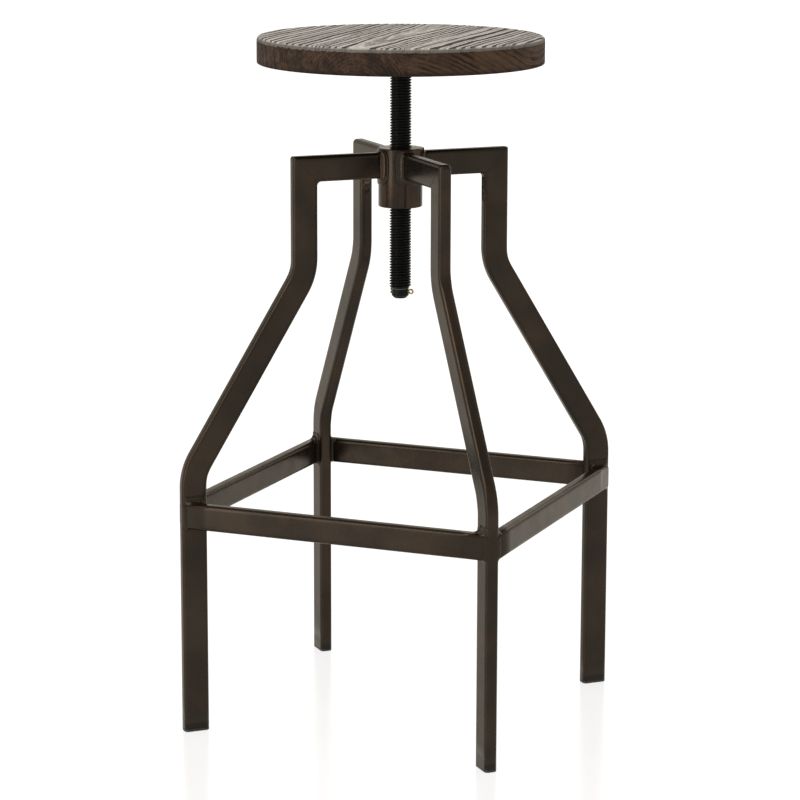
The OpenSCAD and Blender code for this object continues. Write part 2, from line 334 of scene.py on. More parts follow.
def new_material(name):
    """A material, its graph with a shader in it, and its object coordinates in millimetres."""
    material = bpy.data.materials.new(name)
    material.use_nodes = True
    material.node_tree.nodes.clear()
    graph = Graph(material.node_tree)
    graph.shader = graph.node("ShaderNodeBsdfPrincipled")
    graph.node("ShaderNodeOutputMaterial", {0: Output(graph, graph.shader.outputs[0])})
    return material, graph, graph.scale(graph.out("ShaderNodeTexCoord", index="Object"), 1 / MM)


print("node tools are ready")

# %% [markdown]
# ## The camera
# A product photo is taken from far away with a long lens, so that upright lines stay nearly parallel.
# The place and the lens were found by matching the outline of the CAD model to the photo.
# The camera is turned with a matrix: first about the stool's axis, then down, then a hair about its own axis.

# %% Camera
AZIMUTH = 22.64
DOWN = 11.79
ROLL = 0.14
lens = bpy.data.cameras.new("camera")
lens.lens = 137.598
lens.sensor_width = 36
lens.shift_y = -0.00295
lens.clip_end = 100
camera = new_object("camera", lens)
place = Matrix.Translation((1.3492, -3.2347, 1.10661))
look = Matrix.Rotation(radians(AZIMUTH), 4, "Z") @ Matrix.Rotation(radians(90 - DOWN), 4, "X")
camera.matrix_world = place @ look @ Matrix.Rotation(radians(ROLL), 4, "Z")
bpy.context.scene.camera = camera
print("the camera is", round(camera.location.length, 2), "m from the floor's middle")

# %% [markdown]
# ## The floor and the light
# The photo is high-key: a white floor, and a pale room that is brightest near the horizon.
# Large area lights stand all round and above. A dark metal shows them as soft reflections.
# The floor glows, so that it stays white, and its gloss gives faint reflections of the legs.

# %% Floor and light
FLOOR_R = 30000
world = bpy.data.worlds.new("room")
world.use_nodes = True
graph = Graph(world.node_tree)
up = graph.split(graph.out("ShaderNodeTexCoord", index="Generated"))[2]
walls = graph.ramp(up, [(0.24, (0.8, 0.77, 0.72)), (0.5, (0.62, 0.595, 0.56)), (0.8, (0.45, 0.43, 0.405))])
graph.put(world.node_tree.nodes["Background"].inputs[0], walls)
bpy.context.scene.world = world
bpy.context.scene.view_settings.view_transform = "Standard"

floor_material, graph, place = new_material("white_floor")
graph.plug(Base_Color=(0.2, 0.2, 0.2), Roughness=0.2, Specular_IOR_Level=0.9)
graph.plug(Emission_Color=(1, 1, 1), Emission_Strength=0.76)
square = [(FLOOR_R * x, FLOOR_R * y, 0) for x, y in ((-1, -1), (1, -1), (1, 1), (-1, 1))]
mesh = new_mesh("floor", square, [(0, 1, 2, 3)])
mesh.materials.append(floor_material)
floor = new_object("floor", mesh)
floor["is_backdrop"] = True


def soft_light(name, azimuth, elevation, distance, size, power):
    """A large area light that looks at the middle of the stool. Azimuth 0 is the front."""
    a, e = radians(azimuth), radians(elevation)
    away = Vector((sin(a) * cos(e), -cos(a) * cos(e), sin(e)))
    lamp = bpy.data.lights.new(name, "AREA")
    lamp.shape = "RECTANGLE"
    lamp.size, lamp.size_y = size
    lamp.energy = power
    lamp.color = (1, 0.95, 0.88)
    light = new_object(name, lamp)
    light.location = away * distance + Vector((0, 0, 0.45))
    light.rotation_euler = away.to_track_quat("Z", "Y").to_euler()
    light.visible_camera = False


soft_light("top_light", 20, 80, 2.6, (1.8, 1.8), 10)
soft_light("edge_light", 10, 70, 2.6, (0.5, 0.5), 14)
soft_light("right_light", 100, 35, 3.0, (1.0, 2.0), 4)
soft_light("left_light", -70, 35, 3.2, (1.0, 2.0), 8)
soft_light("front_light", -18, 36, 3.6, (2.0, 1.4), 36)
soft_light("back_light", 160, 35, 3.4, (2.5, 1.8), 22)
soft_light("strip_light", -30, 8, 2.8, (0.9, 1.5), 14)

# %% [markdown]
# ## The frame's finish
# The tubes are steel with a dark bronze lacquer. Metal flakes in it reflect the room with a brown tint.
# One Principled shader does it, mostly metallic. Its dark base colour tints the faces towards the camera.
# Every surface reflects more at grazing angles, and the specular tint sets how pale those faces turn.
# Noise at two sizes gives the cloudy brown patches, and fine noise gives the lacquer's orange peel.


# %% Frame material
def bronze_lacquer(name, patch=0.22, rough=0.25, peel=0.004, gloss=0.27, warm=0.0):
    """Dark bronze lacquer. Patch is how strong the reddish clouds are, and warm the copper streaks."""
    material, graph, place = new_material(name)
    clouds = graph.remap(graph.noise(place, 0.011), 0.35, 0.65)
    colour = graph.blend(clouds, (0.024, 0.0188, 0.0142), (0.0355, 0.0263, 0.019))
    rust = graph.remap(graph.noise(place, 0.03, 3, 0.55), 0.48, 0.72)
    colour = graph.blend(rust * patch, colour, (0.058, 0.031, 0.0145))
    dull = graph.remap(graph.noise(place, 0.22, 4, 0.6), 0.35, 0.7, 0.0, 0.12)
    colour = graph.blend(dull, colour, (0.016, 0.0125, 0.0095))
    streaks = graph.remap(graph.noise(graph.stretch(place, (0.09, 0.09, 0.008)), 1.0), 0.35, 0.65)
    colour = graph.blend(streaks * warm, colour, (0.08, 0.05, 0.032))
    roughness = graph.remap(graph.noise(place, 0.05, 3), 0.3, 0.7, rough - 0.03, rough + 0.06)
    skin = graph.bump(graph.noise(place, 0.28), peel)
    graph.plug(Base_Color=colour, Metallic=0.75, Roughness=roughness, Normal=skin)
    graph.plug(Specular_IOR_Level=gloss, Specular_Tint=(0.83, 0.80, 0.735))
    return material


tube_finish = bronze_lacquer("bronze_lacquer")
weld_finish = bronze_lacquer("lacquered_weld", patch=0.6, rough=0.2, peel=0.03, gloss=0.5, warm=0.15)
print("frame materials:", tube_finish.name, weld_finish.name)

# %% [markdown]
# ## The tube
# Every bar of the frame is the same rectangular tube with rounded corners, 30 by 15 mm.
# A ring of points describes its section. A sweep places one ring after another along a path.
# Each sweep has an outer skin and an inner one, 1.5 mm apart, so the result is a real hollow tube.

# %% Tube section
TUBE_WALL = 1.5
CORNER_STEPS = 6
WIDE_STEPS = 10
NARROW_STEPS = 3
# Half of the flat part of the wide side and of the narrow side
FLAT_U = TUBE_W / 2 - TUBE_CORNER
FLAT_V = TUBE_T / 2 - TUBE_CORNER


def tube_ring(inset=0.0):
    """Points (u, v) round the section, u across the wide side and v across the narrow one."""
    r = TUBE_CORNER - inset
    ring = []
    corners = [(1, 1, -1, 0), (-1, 1, 0, -1), (-1, -1, 1, 0), (1, -1, 0, 1)]
    for quarter, (su, sv, du, dv) in enumerate(corners):
        for s in range(CORNER_STEPS + 1):
            a = pi / 2 * (quarter + s / CORNER_STEPS)
            ring.append((su * FLAT_U + r * cos(a), sv * FLAT_V + r * sin(a)))
        length, steps = (2 * FLAT_V, NARROW_STEPS) if quarter % 2 else (2 * FLAT_U, WIDE_STEPS)
        u, v = ring[-1]
        ring += [(u + du * length * s / steps, v + dv * length * s / steps) for s in range(1, steps)]
    return ring


def hollow_tube(name, turn, rows, place, *more):
    """A tube for the CAD node of that name. Place gives the spot of point (u, v) of row number i."""
    outer, inner = tube_ring(), tube_ring(TUBE_WALL)
    points = [place(i, u, v, *more) for i in range(rows) for u, v in outer]
    points += [place(i, u, v, *more) for i in reversed(range(rows)) for u, v in inner]
    faces = loft_faces(2 * rows, len(outer), closed_rows=True)
    new_piece("tube_" + name, turned(points, turn), faces, tube_finish, "frame", "bronze_steel", [name])


print("points round the tube:", len(tube_ring()))

# %% [markdown]
# ## The arms
# Four arms hold the hub. Each is cut round where it meets the hub, and at 45 degrees where it meets its leg.
# Instead of cutting with booleans, each point of an end ring is slid along the tube until it is on the cut.
# The welder ground the outside corner, so the last millimetres there are pushed onto a small arc.

# %% Arms
GROUND_R = {"front_left": 3.2, "front_right": 5.2, "back_left": 5.8, "back_right": 2.0}
ARM_STEPS = 14
# How far the rings near the corner are from it
NEAR_CORNER = (0, 0.6, 1.4, 2.3, 3.3, 4.4, 6)
arm_shares = [s / ARM_STEPS for s in range(ARM_STEPS)]
arm_shares += [1 - d / (LEG_IN - HUB_R) for d in reversed(NEAR_CORNER)]


def ground_corner(x, z, r):
    """Rounds the outside corner between an arm's top and its leg's outer face."""
    centre_x, centre_z = LEG_IN + TUBE_W / 2 - r, ARM_TOP - r
    dx, dz = x - centre_x, z - centre_z
    if dx <= 0 or dz <= 0:
        return x, z
    shrink = max(dx, dz) / hypot(dx, dz)
    return centre_x + dx * shrink, centre_z + dz * shrink


def arm_ring(i, u, v, ground):
    start = sqrt(HUB_R ** 2 - v ** 2) - 0.2
    end = LEG_IN + u
    x, z = ground_corner(start + (end - start) * arm_shares[i], ARM_MIDDLE + u, ground)
    return x, v, z


for corner, turn in CORNERS.items():
    hollow_tube("arm_" + corner, turn, len(arm_shares), arm_ring, GROUND_R[corner])
print("arms from the hub to", LEG_IN + TUBE_W / 2, "mm")

# %% [markdown]
# ## The legs
# A leg is one tube: straight, bent outwards, sloped, bent back and straight again.
# The path is worked out once as a list of stations, each with its place and the direction of the tube.
# A press bends such a tube, and its inner side buckles a little, so each bend gets a shallow dent there.

# %% Legs
UPPER_BEND = 530
LOWER_BEND = 307
BEND_R = 65
CAP_T = 3
DENT = 0.9
BULGE = 0.025
BEND_STEPS = 14
SLOPE_STEPS = 8
FOOT_STEPS = 10
slope = atan2(LEG_OUT - LEG_IN, UPPER_BEND - LOWER_BEND)
bend_reach = BEND_R * tan(slope / 2)


def leg_path():
    """Stations (radius, height, turn, signed share of the dent) down the middle of a leg."""
    path = [(LEG_IN, ARM_MIDDLE - d, 0.0, 0.0) for d in (*NEAR_CORNER, 20, 50)]
    bend = [s / BEND_STEPS for s in range(BEND_STEPS + 1)]
    for share in bend:
        a = slope * share
        x = LEG_IN + BEND_R * (1 - cos(a))
        z = UPPER_BEND + bend_reach - BEND_R * sin(a)
        path.append((x, z, a, sin(pi * share) ** 2))
    length = hypot(LEG_OUT - LEG_IN, UPPER_BEND - LOWER_BEND) - 2 * bend_reach
    for s in range(1, SLOPE_STEPS):
        d = length * s / SLOPE_STEPS
        path.append((x + d * sin(slope), z - d * cos(slope), slope, 0.0))
    bottom = LOWER_BEND - bend_reach
    for share in bend:
        a = slope * (1 - share)
        x = LEG_OUT - BEND_R * (1 - cos(a))
        path.append((x, bottom + BEND_R * sin(a), a, -sin(pi * share) ** 2))
    steps = range(1, FOOT_STEPS + 1)
    return path + [(LEG_OUT, bottom + (CAP_T - bottom) * s / FOOT_STEPS, 0.0, 0.0) for s in steps]


stations = leg_path()


def leg_ring(i, u, v, ground):
    x, z, a, dent = stations[i]
    if u * dent > 0 and abs(u) > FLAT_U:
        u -= dent * DENT * (1 - (v / TUBE_T * 2) ** 2)
    x, z = x + u * cos(a), z + u * sin(a)
    if i < len(NEAR_CORNER):
        x, z = ground_corner(x, z + u, ground)
    return x, v * (1 + abs(dent) * BULGE), z


for corner, turn in CORNERS.items():
    hollow_tube("leg_" + corner, turn, len(stations), leg_ring, GROUND_R[corner])
print("leg slope:", round(degrees(slope), 2), "degrees,", len(stations), "rings a leg")

# %% [markdown]
# ## The footrest
# Four rails of the same tube join the legs. Their ends are cut at 45 degrees and lie flat on the legs.
# Again each end point slides along the rail until it is on the leg's wide face.
# At the outside the rail stops a little short, because the weld there is ground to a round corner.

# %% Footrest rails
RAIL_STEPS = 12
GROUND_ON_RAIL = 4.0
GROUND_ON_LEG = 3.5
RAIL_SIDES = {"front": 270, "back": 90, "left": 180, "right": 0}
rail_middle = RAIL_OUT - TUBE_T / 2
rail_middle_z = RAIL_TOP - TUBE_W / 2


def rail_ring(i, u, v):
    x = rail_middle + v
    outside = max(v - FLAT_V, 0) / TUBE_CORNER
    end = x - TUBE_T / 2 * sqrt(2) + 0.05 - GROUND_ON_RAIL * outside ** 2
    return x, -end + 2 * end * i / RAIL_STEPS, rail_middle_z - u


for side, turn in RAIL_SIDES.items():
    hollow_tube("footrest_" + side, turn, RAIL_STEPS + 1, rail_ring)
print("footrest top at", RAIL_TOP, "mm")

# %% [markdown]
# ## Weld beads
# A fillet weld fills the corner between two faces. It has a toe on each face and a hollow skin between them.
# One function makes every bead from rows of four points: first toe, corner, second toe and root.
# The skin is a curve from toe to toe that bends towards the corner, with the small ripples of a torch.
# Some welds also have a rounded ridge beside their first toe, where the last molten metal stood up.

# %% Weld beads
BEAD_SHARES = (0, 0.05, 0.1, 0.16, 0.23, 0.31, 0.42, 0.54, 0.66, 0.78, 0.9, 1)
RIPPLE_PITCH = 2.2
RIPPLE = 0.13
SINK = 0.6
TOE_GAP = 0.05
LIP = 2.1
WALK_STEPS = 156


def bead(rows, closed, fullness, phase):
    """Points and faces of one bead along a seam. Its root lies inside the metal.

    Each row ends with the height of its ripple and of the rounded ridge along its first toe.
    Fullness lifts the bead's middle off the corner."""
    points, walked = [], phase
    for i, (*spots, ripple, lip) in enumerate(rows):
        a, c, b, root = [Vector(spot) for spot in spots]
        walked += (c - Vector(rows[i - 1][1])).length if i else 0.0
        up = ((a + b) / 2 - root).normalized()
        handle = c.lerp((a + b) / 2, fullness)
        for t in BEAD_SHARES:
            skin = a * (1 - t) ** 2 + handle * 2 * t * (1 - t) + b * t ** 2
            wave = sin(2 * pi * walked / RIPPLE_PITCH + 2.2 * (2 * t - 1) ** 2)
            ridge = lip * exp(-((t - 0.2) / 0.12) ** 2)
            points.append(tuple(skin + up * (ripple * wave * sin(pi * t) + ridge)))
        points.append(tuple(root))
    columns = len(BEAD_SHARES) + 1
    faces = loft_faces(len(rows), columns, closed_rows=closed)
    return points, faces if closed else faces + end_caps(len(rows), columns)


def section_walk():
    """Evenly spaced places round the tube, as (u, v) with the outward direction."""
    ring = [Vector(p) for p in tube_ring()]
    lengths = [(ring[(i + 1) % len(ring)] - p).length for i, p in enumerate(ring)]
    walk, i, along = [], 0, 0.0
    for k in range(WALK_STEPS):
        while along > lengths[i]:
            along -= lengths[i]
            i += 1
        p = ring[i].lerp(ring[(i + 1) % len(ring)], along / lengths[i])
        inside = Vector((min(max(p.x, -FLAT_U), FLAT_U), min(max(p.y, -FLAT_V), FLAT_V)))
        walk.append((*p, *(p - inside).normalized()))
        along += sum(lengths) / WALK_STEPS
    return walk


def bead_piece(name, beads, finish):
    """One piece from several beads, for the CAD node of that name."""
    new_piece(name[:-1] + "_beads", *joined(beads), finish, "frame", "bronze_steel", [name])
    print(name, len(beads))


def wander(s, seed):
    """A smooth uneven number near 0, for toes that aren't quite straight."""
    return 0.5 * sin(s * 0.31 + seed) + 0.35 * sin(s * 0.83 + 2.1 * seed) + 0.15 * sin(2.3 * s)


print("points across a bead:", len(BEAD_SHARES))

# %% [markdown]
# ## Welds at the hub
# Each arm is welded to the hub all round. The toe on the hub follows the hub's round side.
# The weld hangs lowest under the arm, and at the top it stops at the hub's rim.

# %% Hub welds
beads = []
for seed, turn in enumerate(CORNERS.values()):
    rows = []
    for k, (u, v, nu, nv) in enumerate(section_walk()):
        x, z = sqrt(HUB_R ** 2 - v ** 2), ARM_MIDDLE + u
        wide = 3.2 + 2.2 * abs(nv) + 2.6 * (1 - (2 * u / TUBE_W) ** 2) + 3.8 * max(-nu, 0)
        wide += 0.5 * wander(k * 0.5, seed)
        reach = 4.2 + 0.5 * wander(k * 0.5, seed + 9)
        toe_v = v + wide * nv
        hub_toe = sqrt(HUB_R ** 2 - toe_v ** 2) - 0.02, toe_v, z + wide * nu
        arm_toe = x + reach, v + TOE_GAP * nv, z + TOE_GAP * nu
        root = x - SINK, v - SINK * nv, z - SINK * nu
        rows.append((hub_toe, (x, v, z), arm_toe, root, RIPPLE, LIP))
    points, faces = bead(rows, True, 0.35, seed)
    beads.append((turned(points, turn), faces))
bead_piece("hub_welds", beads, weld_finish)

# %% [markdown]
# ## Welds at the rails and in the corners of the arms
# A rail's weld is a wide hollow fillet above, with a low ridge on the leg, and is smaller below and behind.
# Outside, the welder ground it flush with the rail. So the toes' widths depend on the side.
# Only the inner welds at the back left leg were left rough.
# The welds in the arms' inner corners are short fillets that fade out on the tube's round edges.

# %% Rail welds
DIAGONAL = sqrt(0.5)
RAIL_LIP = 1.3
ROUGH_LIP = 0.6


def leg_face(along):
    """A point (from the stool's axis, from the leg's middle) on the leg's wide face and round its corner."""
    past = along - LEG_OUT - FLAT_U
    if past <= 0:
        return along, TUBE_T / 2 + TOE_GAP
    turn = past / TUBE_CORNER
    r = TUBE_CORNER + TOE_GAP
    if turn <= pi / 2:
        return LEG_OUT + FLAT_U + r * sin(turn), FLAT_V + r * cos(turn)
    return LEG_OUT + FLAT_U + r, FLAT_V - (turn - pi / 2) * TUBE_CORNER


def rail_bead(seed, rough):
    """The bead round the right-hand rail's back end, with ripples that are rough times as high."""
    rows = []
    for k, (u, v, nu, nv) in enumerate(section_walk()):
        x, z = rail_middle + v, rail_middle_z + u
        y = x - TUBE_T / 2 / DIAGONAL
        above, below, behind, outside = max(nu, 0), max(-nu, 0), max(-nv, 0), max(nv, 0)
        uneven = 0.35 * wander(k * 0.5, seed) * (1 - outside)
        width = 7.4 * above + 3.2 * below + 5.2 * behind + GROUND_ON_LEG * outside + uneven
        reach = 8.0 * above + 3.4 * below + 5.6 * behind + GROUND_ON_RAIL * outside
        along, off = leg_face((x + y) * DIAGONAL + width * nv)
        leg_toe = (along + off) * DIAGONAL, (along - off) * DIAGONAL, z + width * nu
        rail_toe = x + TOE_GAP * nv * (1 - outside), y - reach, z + TOE_GAP * nu
        root = x - SINK * nv * (1 + 2 * outside), y + SINK * (1 - 4 * outside), z - SINK * nu
        lip = RAIL_LIP * above + (ROUGH_LIP * behind if rough > 1 else 0)
        rows.append((leg_toe, (x, y, z), rail_toe, root, RIPPLE * rough * (1 - outside), lip))
    return bead(rows, True, 0.25, seed)


beads = []
for seed, (side, turn) in enumerate(RAIL_SIDES.items()):
    for flip in (False, True):
        at_back_left = (side, flip) in (("back", False), ("left", True))
        points, faces = rail_bead(2.0 * seed + flip, 3 if at_back_left else 0.3)
        if flip:
            points = [(x, -y, z) for x, y, z in points]
        beads.append((turned(points, turn), faces))
bead_piece("rail_welds", beads, tube_finish)

# %% Corner welds
CORNER_ROWS = 36
CORNER_HALF = 7.0
beads = []
for seed, turn in enumerate(CORNERS.values()):
    rows = []
    for k in range(CORNER_ROWS + 1):
        v = (2 * k / CORNER_ROWS - 1) * CORNER_HALF
        round_v = max(abs(v) - FLAT_V, 0)
        u = -FLAT_U - sqrt(TUBE_CORNER ** 2 - round_v ** 2)
        size = 4.6 * (1 - (abs(v) / 7.2) ** 4) + 0.3 * wander(k * 0.4, seed)
        x, z = LEG_IN + u, ARM_MIDDLE + u
        arm_toe, leg_toe = (x - size, v, z - TOE_GAP), (x - TOE_GAP, v, z - size)
        rows.append((arm_toe, (x, v, z), leg_toe, (x + SINK, v, z + SINK), RIPPLE, 0))
    points, faces = bead(rows, False, 0.3, seed)
    beads.append((turned(points, turn), faces))
bead_piece("corner_welds", beads, tube_finish)

# %% [markdown]
# ## The hub
# The hub is a turned tube, so its profile is spun round the axis. The real one has the thread inside.
# Here the bore is plain, a hair wider than the screw. Rounded corners make the rims catch the light.

# %% Hub
BORE_EDGE = 1.2
hub_profile = [(BORE_R + BORE_EDGE, HUB_BOTTOM), (HUB_R, HUB_BOTTOM), (HUB_R, HUB_TOP),
               (BORE_R + BORE_EDGE, HUB_TOP), (BORE_R, HUB_TOP - BORE_EDGE), (BORE_R, HUB_BOTTOM + BORE_EDGE)]
points, faces = lathe(rounded(hub_profile, [0.2, 1.3, 1.2, 0.2, 0.2, 0.2]), 96, hollow=True)
hub_finish = bronze_lacquer("worn_hub_lacquer", patch=0.8, rough=0.19, gloss=0.22, warm=0.22)
new_piece("turned_hub", points, faces, hub_finish, "frame", "bronze_steel", ["hub"])
print("hub", 2 * HUB_R, "mm across,", HUB_TOP - HUB_BOTTOM, "mm high")

# %% [markdown]
# ## The feet
# Black plastic caps close the legs. Only a thin rim shows, and a plug goes up inside the tube.
# The cap is a stack of the tube's own section: small at the floor, full size, then stepped in for the plug.

# %% Feet
plastic, graph, place = new_material("black_plastic")
grain = graph.noise(place, 2.2, 3)
scuff = graph.remap(graph.noise(place, 0.25, 4), 0.5, 0.7)
graph.plug(Base_Color=graph.blend(scuff, (0.008, 0.008, 0.008), (0.02, 0.019, 0.018)))
graph.plug(Roughness=graph.remap(scuff, 0, 1, 0.42, 0.6), Normal=graph.bump(grain, 0.05))
PLUG_TOP = CAP_T + 16
# How far each row is inside the tube's outline, and its height
cap_rows = [(0.9, 0), (0.35, 0.25), (0.08, 0.7), (0, 1.2), (0, CAP_T), (1.7, CAP_T), (1.7, PLUG_TOP - 1),
            (2.4, PLUG_TOP)]
points = [(LEG_OUT + u, v, z) for inset, z in cap_rows for u, v in tube_ring(inset)]
columns = len(tube_ring())
faces = loft_faces(len(cap_rows), columns) + end_caps(len(cap_rows), columns)
for corner, turn in CORNERS.items():
    cap = turned(points, turn)
    new_piece("cap_" + corner, cap, faces, plastic, "frame", "black_plastic", ["foot_" + corner])
print("feet:", len(CORNERS))

# %% [markdown]
# ## The wood's rings
# The seat is glued from three planks of old wood, 110 mm wide. The grain runs nearly along Y.
# Each plank is cut from its own tree. Its growth rings are tubes round a line that lies along the grain.
# So the distance to that line, divided by the ring's width, counts the rings. The same formula gives long
# lines on the top, pointed arches where the line slopes, and arcs on the end grain of the rim.
# On the rounded edge the formula uses the height of the top, so the top's lines carry on over it.
# The material and the carving both use the function below, so their lines agree.

# %% Rings, grooves and fibres
PLANK_W = 110
PLANK_START = -55
# For each plank from left to right: where its rings' middle is, how it slopes, and how wide a ring is
RING_X = (-215, 2, 40)
RING_Z = (772, 753, 680)
RING_SLOPE = (0.03, 0.02, 0.01)
RING_W = (8.8, 4.0, 5.0)
# How strong the lines are across the seat, from left to right in millimetres
LINE_STRENGTH = ((-120, 1), (-100, 0.7), (-70, 1), (-45, 1), (-20, 0.8), (4, 0.3), (14, 1), (50, 1),
                 (60, 0.5), (90, 1))
GRAIN_TURN = -5


def pick(graph, plank, values):
    """The value that belongs to a plank, where planks are numbered from -1."""
    total = 0.0
    for number, value in enumerate(values, start=-1):
        total = graph.math("COMPARE", plank, number, 0.4) * value + total
    return total


def ring_lines(graph, count, soft):
    """A soft groove at the start of each ring, with a sharp side. Some rings are weaker than others."""
    number = graph.math("FLOOR", count)
    share = count - number
    strength = graph.remap(graph.random(number), 0.0, 0.7, 0.4, 1.0, "LINEAR")
    return graph.remap(share, 0.0, 0.08) * graph.remap(share, soft - 0.15, soft, 1.0, 0.0) * strength


def wood_pattern(graph, place):
    """Adds the wood's pattern to a tree. Place is a position in millimetres."""
    angle = {"Vector": place, "Angle": radians(GRAIN_TURN)}
    place = graph.out("ShaderNodeVectorRotate", angle, rotation_type="Z_AXIS")
    x, y, height = graph.split(place)
    rounded_edge = graph.remap(height, SEAT_TOP - 6.5, SEAT_TOP - 5.5)
    z = height + rounded_edge * (SEAT_TOP - height)
    place = graph.combine(x, y, z)
    drift = graph.noise(graph.stretch(place, (0.022, 0.0075, 0.03)), 1.0)
    jitter = graph.noise(graph.stretch(place, (0.16, 0.022, 0.16)), 1.0, 3)
    from_start = x - PLANK_START
    plank = graph.math("FLOOR", from_start / PLANK_W)
    across = (drift - 0.5) * 13 + x - pick(graph, plank, RING_X)
    down = z - pick(graph, plank, RING_Z) - y * pick(graph, plank, RING_SLOPE)
    far = (jitter - 0.5) * 2.2 + graph.length(across, down)
    count = plank * 31 + far / pick(graph, plank, RING_W)
    uneven = graph.noise(graph.combine(count * 0.4, 0.0), 1.0, 1)
    count = uneven * 1.2 + count
    flat = graph.math("ABSOLUTE", across) / far
    stops = [(0.5 + at / (2 * SEAT_R), (share, share, share)) for at, share in LINE_STRENGTH]
    strength = graph.ramp(x * (0.5 / SEAT_R) + 0.5, stops) * graph.remap(flat, 0.05, 0.3, 0.5)
    edge = graph.math("PINGPONG", from_start, PLANK_W / 2)
    return SimpleNamespace(
        x=x, z=height,
        wide=ring_lines(graph, count, 0.47) * strength,
        fine=ring_lines(graph, count * 3, 0.8),
        fibre=graph.noise(graph.stretch(place, (0.5, 0.014, 0.5)), 1.0, 5, 0.66),
        streak=graph.noise(graph.stretch(place, (0.21, 0.007, 0.21)), 1.0, 3),
        joint=graph.remap(edge, 0.1, 0.6, 1.0, 0.0))


print("planks:", len(RING_X), "ring widths in mm:", RING_W)

# %% [markdown]
# ## The wood's colour
# The top is grey from wear. Its grain lines and plank joints are dark, and the same dark colour also paints
# shade into its soft grooves. The rim is browner, like oiled end grain.
# Height decides which of the two shows, with some noise. The rounded edge between them is a dark grey.
# A small bump adds the fibres that are too fine for the mesh.

# %% Wood material
wood, graph, place = new_material("weathered_wood")
lines = wood_pattern(graph, place)
tone = lines.fibre * 0.75 + lines.streak * 0.6 - 0.02
# Painted shade, partly: this mask darkens the grain lines and the plank joints, and it also paints shade into
# the soft grooves.
dark_lines_and_groove_shade = (lines.joint * 0.2 + lines.fine * 0.5 + lines.wide * 1.8).at_most(0.98)

grey = graph.ramp(tone, [(0.4, (0.095, 0.085, 0.079)), (0.52, (0.305, 0.289, 0.273)),
                         (0.66, (0.5, 0.482, 0.461))])
flat_top = graph.remap(lines.z, SEAT_TOP - 2.8, SEAT_TOP - 0.2)
edge = graph.blend(0.86, grey, (0.055, 0.045, 0.038))
grey = graph.blend(flat_top, edge, grey)
# Painted shade, partly: the dark mask turns the top's lines and grooves nearly black.
top = graph.blend(dark_lines_and_groove_shade * graph.remap(flat_top, 0, 1, 0.1), grey, (0.025, 0.0215, 0.019))

brown = graph.ramp(tone, [(0.38, (0.01, 0.0062, 0.0045)), (0.56, (0.026, 0.0152, 0.0097)),
                          (0.76, (0.06, 0.0345, 0.0215))])
# The rim is lighter and more golden towards the right, and its dark patches are stronger towards the left.
to_right = graph.remap(lines.x, 20, 140)
side = graph.blend(to_right * 0.5 + 0.1, brown, (0.088, 0.05, 0.026))
stain = graph.remap(graph.noise(place, 0.06, 4, 0.6), 0.42, 0.62)
side = graph.blend(stain * graph.remap(to_right, 0.3, 1.0, 0.75, 0.2), side, (0.016, 0.0105, 0.0092))
pale = graph.remap(graph.noise(place, 0.3, 4, 0.7), 0.55, 0.75, 0.0, 0.25)
side = graph.blend(pale, side, (0.085, 0.066, 0.044))
patchy = graph.remap(graph.noise(place, 0.035), 0.4, 0.6, 0.2, 0.85)
# Painted shade, partly: the same dark mask darkens the lines and grooves on the rim.
side = graph.blend(dark_lines_and_groove_shade * patchy * graph.remap(lines.x, 30, 60, 0.45), side, (0.009, 0.006, 0.005))
# The rim is darker towards its bottom edge.
low = graph.remap(lines.z, SEAT_BOTTOM + 0.5, SEAT_BOTTOM + 7, 0.6, 0.0)
side = graph.blend(low, side, (0.01, 0.007, 0.006))

ragged = (graph.noise(place, 0.14, 4, 0.6) - 0.5) * graph.remap(lines.x, -60, 20, 7.0, 2.5)
is_top = graph.remap(ragged + lines.z, SEAT_TOP - 5.5, SEAT_TOP - 4.8)
fibres = graph.bump(lines.fibre * 0.5 - dark_lines_and_groove_shade, 0.45, 0.9)
graph.plug(Base_Color=graph.blend(is_top, side, top), Specular_IOR_Level=0.12)
graph.plug(Roughness=graph.remap(dark_lines_and_groove_shade, 0, 1, 0.62, 0.9), Normal=fibres)
print("wood nodes:", len(wood.node_tree.nodes))

# %% [markdown]
# ## The seat's mesh
# The disc starts as lines of points along the grain, so that long grooves run with the mesh.
# Each line is as long as the circle allows. Its ends lie evenly round the circle and carry on down the rim.
# Geometry Nodes then push the points inwards by the ring formula: shallow grooves on top, and a worn edge.

# %% Seat mesh
GRAIN_LINES = 560
ALONG_STEPS = 100
SIDE_STEPS = 8
flat_r = SEAT_R - TOP_EDGE_R
ends = [pi * (i + 0.5) / GRAIN_LINES for i in range(GRAIN_LINES)]
points = []
for a in ends:
    x, reach = -flat_r * cos(a), flat_r * sin(a)
    points += [(x, -reach + 2 * reach * j / ALONG_STEPS, SEAT_TOP) for j in range(ALONG_STEPS + 1)]
row = ALONG_STEPS + 1
faces = [tuple(reversed(f)) for f in loft_faces(GRAIN_LINES, row, closed_columns=False)]
front_edge = [i * row for i in range(GRAIN_LINES)]
loop = front_edge + [i + ALONG_STEPS for i in reversed(front_edge)]
angles = [pi + a for a in ends] + [pi - a for a in reversed(ends)]
side_high, side_low = SEAT_TOP - TOP_EDGE_R, SEAT_BOTTOM + BOTTOM_EDGE_R
bends = [radians(t) for t in (22, 45, 67, 90)]
rim = [(flat_r + TOP_EDGE_R * sin(t), side_high + TOP_EDGE_R * cos(t)) for t in bends]
rim += [(SEAT_R, side_high - (side_high - side_low) * k / SIDE_STEPS) for k in range(1, SIDE_STEPS + 1)]
rim += [(SEAT_R - BOTTOM_EDGE_R * (1 - cos(t)), side_low - BOTTOM_EDGE_R * sin(t)) for t in (pi / 4, pi / 2)]
